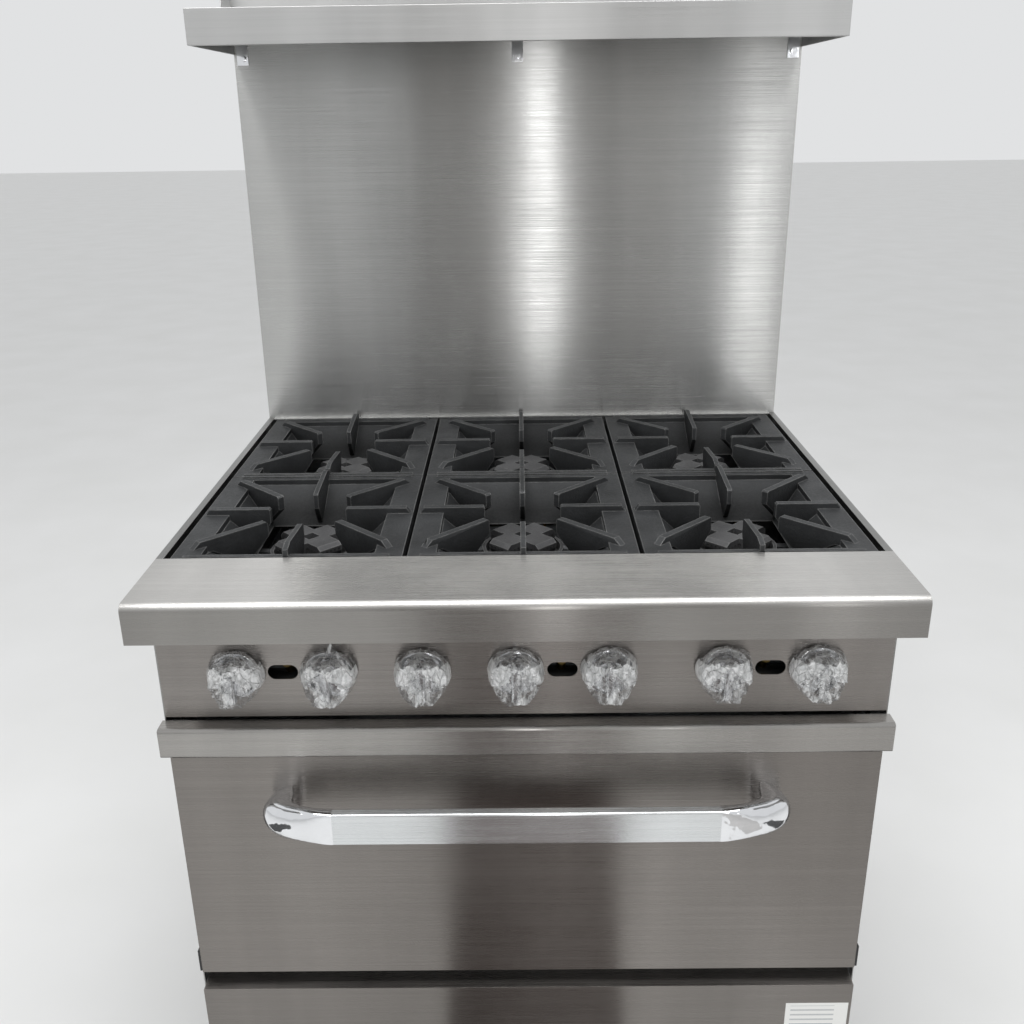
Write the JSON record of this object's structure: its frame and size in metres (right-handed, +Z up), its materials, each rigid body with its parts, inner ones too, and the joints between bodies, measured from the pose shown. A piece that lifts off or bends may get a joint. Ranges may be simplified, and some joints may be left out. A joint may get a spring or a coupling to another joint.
{
  "type": "commercial gas range",
  "caption": "Free-standing stainless gas range: open burners under cast grates, drop-front oven door, slide-out crumb tray, tall riser with high shelf, on levelling legs.",
  "frame": {"origin": "on the floor, at the middle of the footprint's bounding box", "axes": "+X to the right as one faces the range, +Y from the controls to the riser, +Z up"},
  "size_m": [0.92, 0.852, 1.617],
  "materials": {
    "stainless_steel": "satin",
    "chrome": "polished",
    "cast_iron": "matt",
    "galvanised_steel": "satin",
    "black_steel": "matt",
    "brass": "satin",
    "mineral_wool": "matt",
    "gasket_fibre": "matt"
  },
  "bodies": {
    "cabinet": {"side_panel_left": "stainless_steel", "side_panel_right": "stainless_steel", "rear_panel": "galvanised_steel", "base_frame": "black_steel", "front_frame": "galvanised_steel", "kick_plate": "stainless_steel", "control_panel": "stainless_steel", "front_ledge": "stainless_steel", "cooktop_frame": "black_steel", "riser_front": "stainless_steel", "riser_rear": "galvanised_steel", "high_shelf": "stainless_steel", "shelf_brackets": "chrome", "gas_manifold": "black_steel", "burner_valves": "brass", "oven_thermostat": "galvanised_steel", "front_burners": "cast_iron", "rear_burners": "cast_iron", "pilot_burners": "brass", "burner_rails": "galvanised_steel", "tray_runners": "galvanised_steel", "oven_liner": "galvanised_steel", "oven_deck": "galvanised_steel", "oven_insulation": "mineral_wool", "rack_guides": "chrome", "oven_burner": "galvanised_steel", "oven_safety_valve": "brass", "hinge_brackets": "black_steel", "door_spring_left": "black_steel", "door_spring_right": "black_steel", "legs": "stainless_steel", "panel_screws": "chrome"},
    "oven_door": {"door_outer_panel": "stainless_steel", "door_inner_panel": "galvanised_steel", "door_insulation": "mineral_wool", "door_gasket": "gasket_fibre", "handle_bar": "stainless_steel", "handle_brackets": "chrome", "door_spring_arms": "black_steel"},
    "tray_drawer": {"crumb_tray": "galvanised_steel", "crumb_tray_front": "stainless_steel"},
    "upper_rack": {"oven_rack_upper": "chrome"},
    "lower_rack": {"oven_rack_lower": "chrome"},
    "grate_front_left_body": {"grate_front_left": "cast_iron"},
    "grate_front_center_body": {"grate_front_center": "cast_iron"},
    "grate_front_right_body": {"grate_front_right": "cast_iron"},
    "grate_rear_left_body": {"grate_rear_left": "cast_iron"},
    "grate_rear_center_body": {"grate_rear_center": "cast_iron"},
    "grate_rear_right_body": {"grate_rear_right": "cast_iron"},
    "knob_1_body": {"knob_1": "chrome"},
    "knob_2_body": {"knob_2": "chrome"},
    "knob_3_oven_body": {"knob_3_oven": "chrome"},
    "knob_4_body": {"knob_4": "chrome"},
    "knob_5_body": {"knob_5": "chrome"},
    "knob_6_body": {"knob_6": "chrome"},
    "knob_7_body": {"knob_7": "chrome"},
    "foot_front_left_body": {"foot_front_left": "stainless_steel"},
    "foot_front_right_body": {"foot_front_right": "stainless_steel"},
    "foot_rear_left_body": {"foot_rear_left": "stainless_steel"},
    "foot_rear_right_body": {"foot_rear_right": "stainless_steel"}
  },
  "joints": [
    {"name": "crumb_tray_slide", "type": "slide", "parent": "cabinet", "child": "tray_drawer", "axis": [0, -1, 0], "range_m": [0, 0.55]},
    {"name": "door_hinge", "type": "hinge", "parent": "cabinet", "child": "oven_door", "pos_m": [0, -0.342, 0.34], "axis": [1, 0, 0], "range_deg": [0, 90], "stiffness_Nm_per_rad": 9, "springref_deg": -28.65, "deforming": ["door_spring_left", "door_spring_right"]},
    {"name": "grate_front_left_lift", "type": "slide", "parent": "cabinet", "child": "grate_front_left_body", "axis": [0, 0, 1], "range_m": [0, 0.12]},
    {"name": "grate_front_center_lift", "type": "slide", "parent": "cabinet", "child": "grate_front_center_body", "axis": [0, 0, 1], "range_m": [0, 0.12]},
    {"name": "grate_front_right_lift", "type": "slide", "parent": "cabinet", "child": "grate_front_right_body", "axis": [0, 0, 1], "range_m": [0, 0.12]},
    {"name": "grate_rear_left_lift", "type": "slide", "parent": "cabinet", "child": "grate_rear_left_body", "axis": [0, 0, 1], "range_m": [0, 0.12]},
    {"name": "grate_rear_center_lift", "type": "slide", "parent": "cabinet", "child": "grate_rear_center_body", "axis": [0, 0, 1], "range_m": [0, 0.12]},
    {"name": "grate_rear_right_lift", "type": "slide", "parent": "cabinet", "child": "grate_rear_right_body", "axis": [0, 0, 1], "range_m": [0, 0.12]},
    {"name": "knob_1_turn", "type": "hinge", "parent": "cabinet", "child": "knob_1_body", "pos_m": [-0.359, -0.36, 0.785], "axis": [0, -1, 0], "range_deg": [0, 90]},
    {"name": "knob_2_turn", "type": "hinge", "parent": "cabinet", "child": "knob_2_body", "pos_m": [-0.243, -0.36, 0.785], "axis": [0, -1, 0], "range_deg": [0, 90]},
    {"name": "knob_3_oven_turn", "type": "hinge", "parent": "cabinet", "child": "knob_3_oven_body", "pos_m": [-0.127, -0.36, 0.785], "axis": [0, -1, 0], "range_deg": [0, 270]},
    {"name": "knob_4_turn", "type": "hinge", "parent": "cabinet", "child": "knob_4_body", "pos_m": [-0.011, -0.36, 0.785], "axis": [0, -1, 0], "range_deg": [0, 90]},
    {"name": "knob_5_turn", "type": "hinge", "parent": "cabinet", "child": "knob_5_body", "pos_m": [0.105, -0.36, 0.785], "axis": [0, -1, 0], "range_deg": [0, 90]},
    {"name": "knob_6_turn", "type": "hinge", "parent": "cabinet", "child": "knob_6_body", "pos_m": [0.247, -0.36, 0.785], "axis": [0, -1, 0], "range_deg": [0, 90]},
    {"name": "knob_7_turn", "type": "hinge", "parent": "cabinet", "child": "knob_7_body", "pos_m": [0.363, -0.36, 0.785], "axis": [0, -1, 0], "range_deg": [0, 90]},
    {"name": "levelling_foot_front_left", "type": "slide", "parent": "cabinet", "child": "foot_front_left_body", "axis": [0, 0, -1], "range_m": [0, 0.03]},
    {"name": "levelling_foot_front_right", "type": "slide", "parent": "cabinet", "child": "foot_front_right_body", "axis": [0, 0, -1], "range_m": [0, 0.03]},
    {"name": "levelling_foot_rear_left", "type": "slide", "parent": "cabinet", "child": "foot_rear_left_body", "axis": [0, 0, -1], "range_m": [0, 0.03]},
    {"name": "levelling_foot_rear_right", "type": "slide", "parent": "cabinet", "child": "foot_rear_right_body", "axis": [0, 0, -1], "range_m": [0, 0.03]},
    {"name": "oven_rack_upper_slide", "type": "slide", "parent": "cabinet", "child": "upper_rack", "axis": [0, -1, 0], "range_m": [0, 0.04]},
    {"name": "oven_rack_lower_slide", "type": "slide", "parent": "cabinet", "child": "lower_rack", "axis": [0, -1, 0], "range_m": [0, 0.04]}
  ]
}
